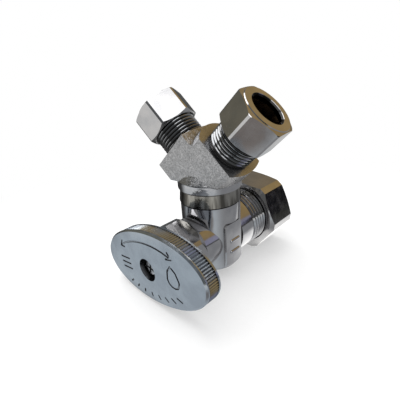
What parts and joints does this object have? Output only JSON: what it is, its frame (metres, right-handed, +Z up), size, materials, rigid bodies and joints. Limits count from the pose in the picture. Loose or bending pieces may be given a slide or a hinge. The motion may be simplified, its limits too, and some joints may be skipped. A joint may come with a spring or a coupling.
{
  "type": "dual-outlet angle stop valve",
  "caption": "Chrome compression angle stop valve with a horizontal inlet nut, a Y head carrying two angled outlet nuts and an oval knurled handle on a screw-down stem.",
  "frame": {"origin": "centre of the inlet socket's mouth, where its straight wall begins", "axes": "+Y out of the inlet along the supply tube, toward the wall; +Z up, toward the outlets; the handle is on -Y"},
  "size_m": [0.0506, 0.0591, 0.0611],
  "materials": {
    "body_chrome": "bright chrome plate over forged brass",
    "head_satin_chrome": "chrome plate over a rough tumbled brass forging",
    "nut_chrome": "bright chrome plate over turned brass hexagon",
    "handle_chrome": "bright chrome plate over die-cast zinc, knurled rim",
    "brass": "plain turned brass",
    "packing_rubber": "black packing rubber",
    "washer_rubber": "black seat washer rubber",
    "screw_steel": "plated steel screw"
  },
  "bodies": {
    "valve_body": {"body": "body_chrome", "outlet_y_head": "head_satin_chrome", "head_o_ring": "packing_rubber", "packing_washer": "brass"},
    "inlet_sleeve": {"inlet_sleeve": "brass"},
    "inlet_nut": {"inlet_nut": "nut_chrome"},
    "left_outlet_sleeve": {"left_outlet_sleeve": "brass"},
    "left_outlet_nut": {"left_outlet_nut": "nut_chrome"},
    "right_outlet_sleeve": {"right_outlet_sleeve": "brass"},
    "right_outlet_nut": {"right_outlet_nut": "nut_chrome"},
    "stem_packing": {"stem_packing": "packing_rubber"},
    "packing_nut": {"packing_nut": "nut_chrome"},
    "seat_washer": {"seat_washer": "washer_rubber"},
    "stem_and_handle": {"stem": "brass", "seat_washer_screw": "brass", "handle": "handle_chrome", "handle_screw": "screw_steel"}
  },
  "joints": [
    {"name": "stem_advance", "type": "slide", "parent": "valve_body", "child": "seat_washer", "axis": [0, -1, 0], "range_m": [0, 0.00381]},
    {"name": "stem_turn", "type": "hinge", "parent": "seat_washer", "child": "stem_and_handle", "pos_m": [0, -0.024, 0], "axis": [0, -1, 0], "range_deg": [0, 1080]},
    {"name": "packing_nut_advance", "type": "slide", "parent": "valve_body", "child": "stem_packing", "axis": [0, -1, 0], "range_m": [0, 0.0005292]},
    {"name": "packing_nut_turn", "type": "hinge", "parent": "stem_packing", "child": "packing_nut", "pos_m": [0, -0.024, 0], "axis": [0, -1, 0], "range_deg": [0, 180]},
    {"name": "inlet_nut_advance", "type": "slide", "parent": "valve_body", "child": "inlet_sleeve", "axis": [0, 1, 0], "range_m": [0, 0.00564]},
    {"name": "inlet_nut_turn", "type": "hinge", "parent": "inlet_sleeve", "child": "inlet_nut", "pos_m": [0, 0, 0], "axis": [0, 1, 0], "range_deg": [0, 1440]},
    {"name": "left_outlet_nut_advance", "type": "slide", "parent": "valve_body", "child": "left_outlet_sleeve", "axis": [-0.7017, -0.0874, 0.7071], "range_m": [0, 0.00423]},
    {"name": "left_outlet_nut_turn", "type": "hinge", "parent": "left_outlet_sleeve", "child": "left_outlet_nut", "pos_m": [-0.01488, -0.02585, 0.03719], "axis": [-0.7017, -0.0874, 0.7071], "range_deg": [0, 1440]},
    {"name": "right_outlet_nut_advance", "type": "slide", "parent": "valve_body", "child": "right_outlet_sleeve", "axis": [0.7017, 0.0874, 0.7071], "range_m": [0, 0.00423]},
    {"name": "right_outlet_nut_turn", "type": "hinge", "parent": "right_outlet_sleeve", "child": "right_outlet_nut", "pos_m": [0.01488, -0.02215, 0.03719], "axis": [0.7017, 0.0874, 0.7071], "range_deg": [0, 1440]}
  ],
  "couplings": [
    {"joint": "stem_advance", "follows": "stem_turn", "m_per_rad": 0.00020213},
    {"joint": "packing_nut_advance", "follows": "packing_nut_turn", "m_per_rad": 0.00016844},
    {"joint": "inlet_nut_advance", "follows": "inlet_nut_turn", "m_per_rad": 0.00022459},
    {"joint": "left_outlet_nut_advance", "follows": "left_outlet_nut_turn", "m_per_rad": 0.00016844},
    {"joint": "right_outlet_nut_advance", "follows": "right_outlet_nut_turn", "m_per_rad": 0.00016844}
  ]
}
